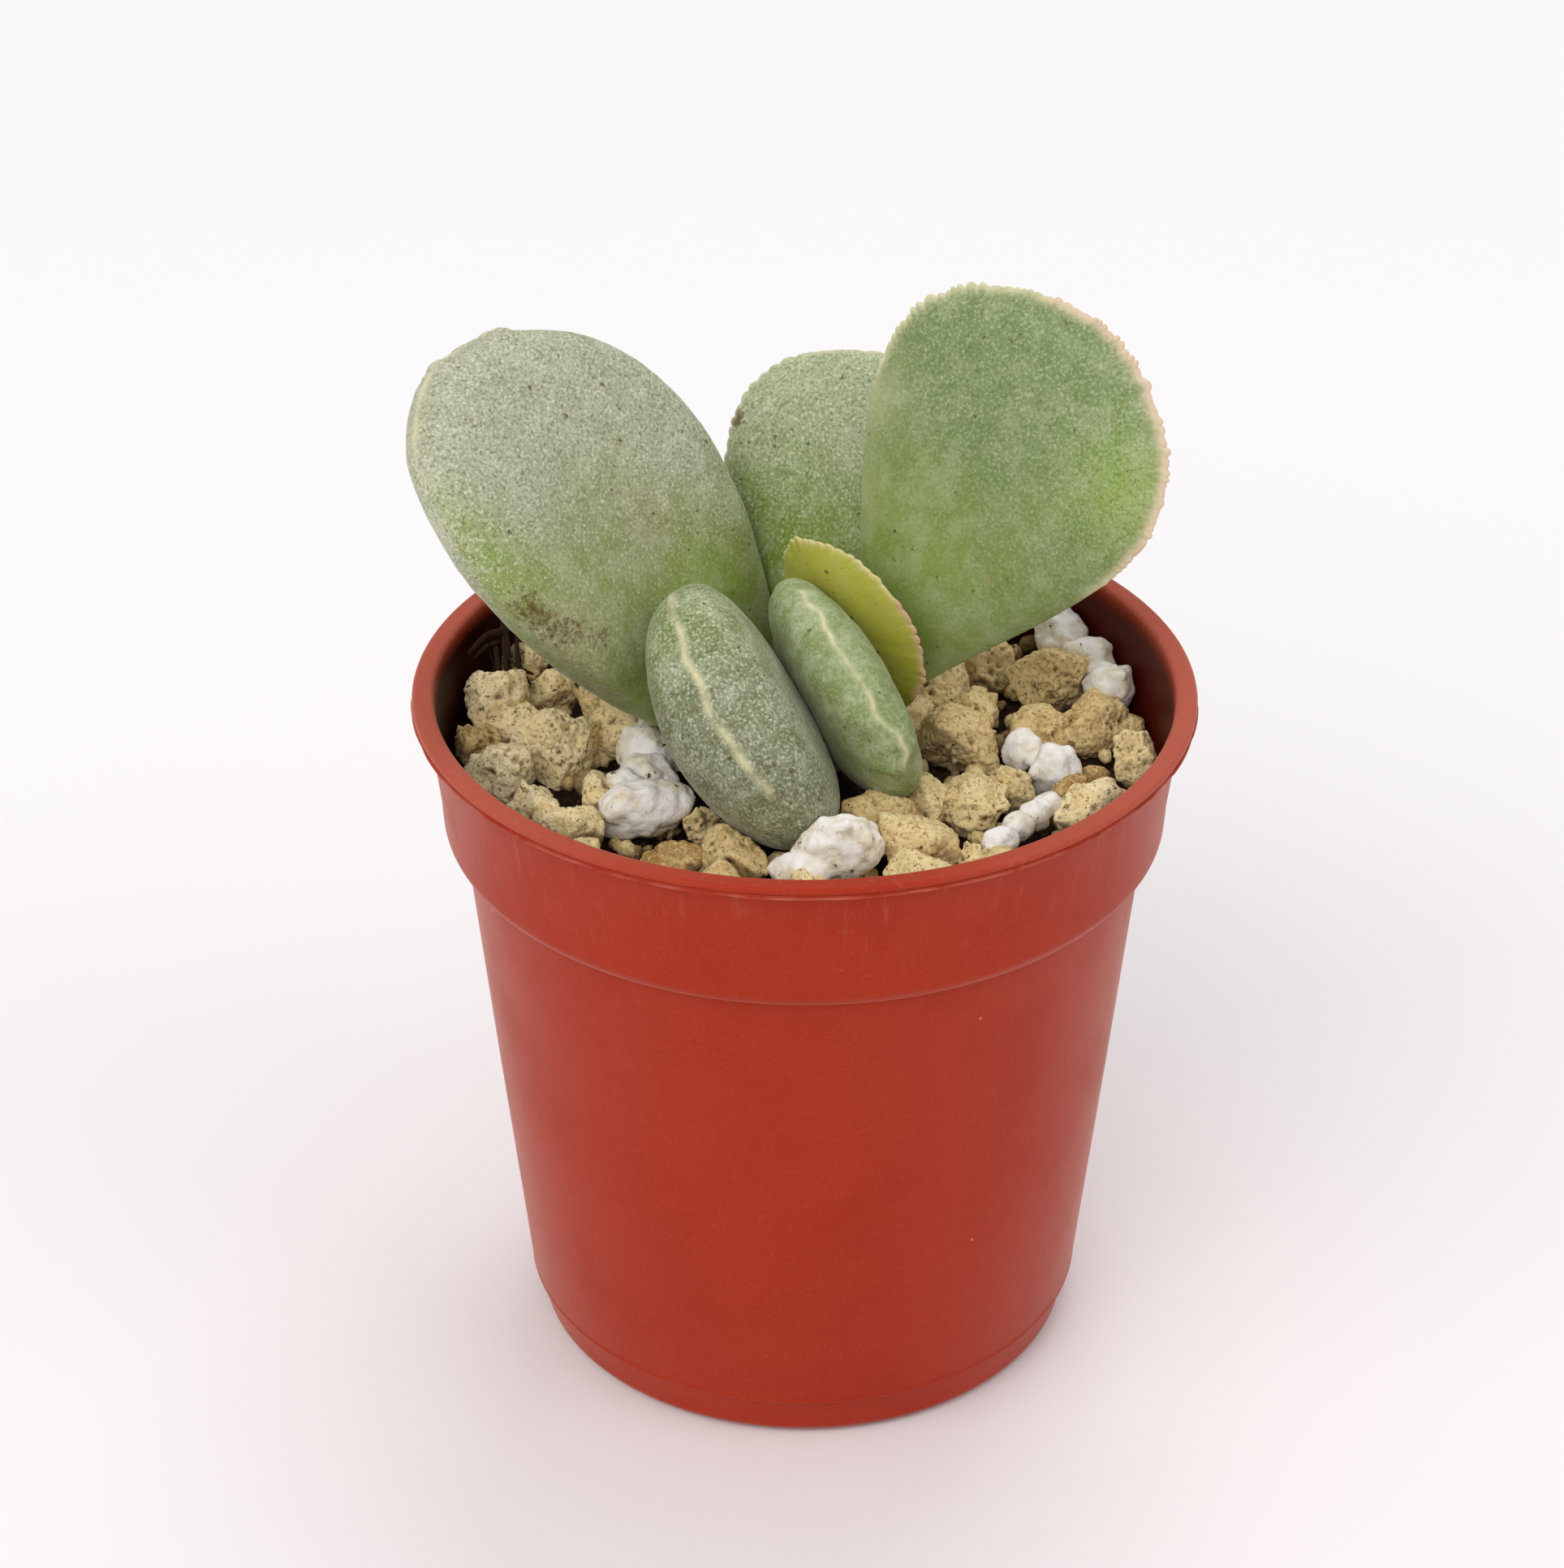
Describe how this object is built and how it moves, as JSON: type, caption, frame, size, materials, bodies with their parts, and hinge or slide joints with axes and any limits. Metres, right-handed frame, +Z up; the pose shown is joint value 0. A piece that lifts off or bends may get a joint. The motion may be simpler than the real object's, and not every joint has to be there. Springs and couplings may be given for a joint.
{
  "type": "potted succulent",
  "caption": "Small succulent with thick paddle-shaped leaves in a round tapered nursery pot, planted in gritty mix under pale pumice and white perlite.",
  "frame": {"origin": "centre of the pot's foot, on the surface that it stands on", "axes": "+Z up through the pot's axis, -Y towards the viewer of the picture, +X to the viewer's right"},
  "size_m": [0.055, 0.055, 0.0776],
  "materials": {
    "pot_plastic": "moulded terracotta-red plastic with a satin face",
    "soil": "dark crumbly potting mix",
    "stem_skin": "dry brown stem and root skin",
    "leaf_waxy": "grey-green succulent skin with a whitish waxy bloom and fine dark specks",
    "leaf_young": "yellow-green succulent skin with a tan horny margin",
    "bark": "dark fibrous bark",
    "perlite": "white expanded perlite, lumpy and matt",
    "pumice": "tan porous pumice, pitted and matt"
  },
  "bodies": {
    "root": {"pot": "pot_plastic", "potting_mix": "soil", "stem": "stem_skin", "leaf_front_left": "leaf_waxy", "leaf_front_right": "leaf_waxy", "leaf_right": "leaf_waxy", "leaf_left": "leaf_waxy", "leaf_back": "leaf_waxy", "leaf_young": "leaf_young", "bark_strips": "bark", "perlite_left": "perlite", "perlite_left_rear": "perlite", "perlite_front": "perlite", "perlite_right_rear": "perlite", "perlite_right_middle": "perlite", "perlite_right_small": "perlite", "perlite_right_front": "perlite", "perlite_rear": "perlite", "perlite_rear_left": "perlite", "pumice_gravel": "pumice"}
  },
  "joints": []
}
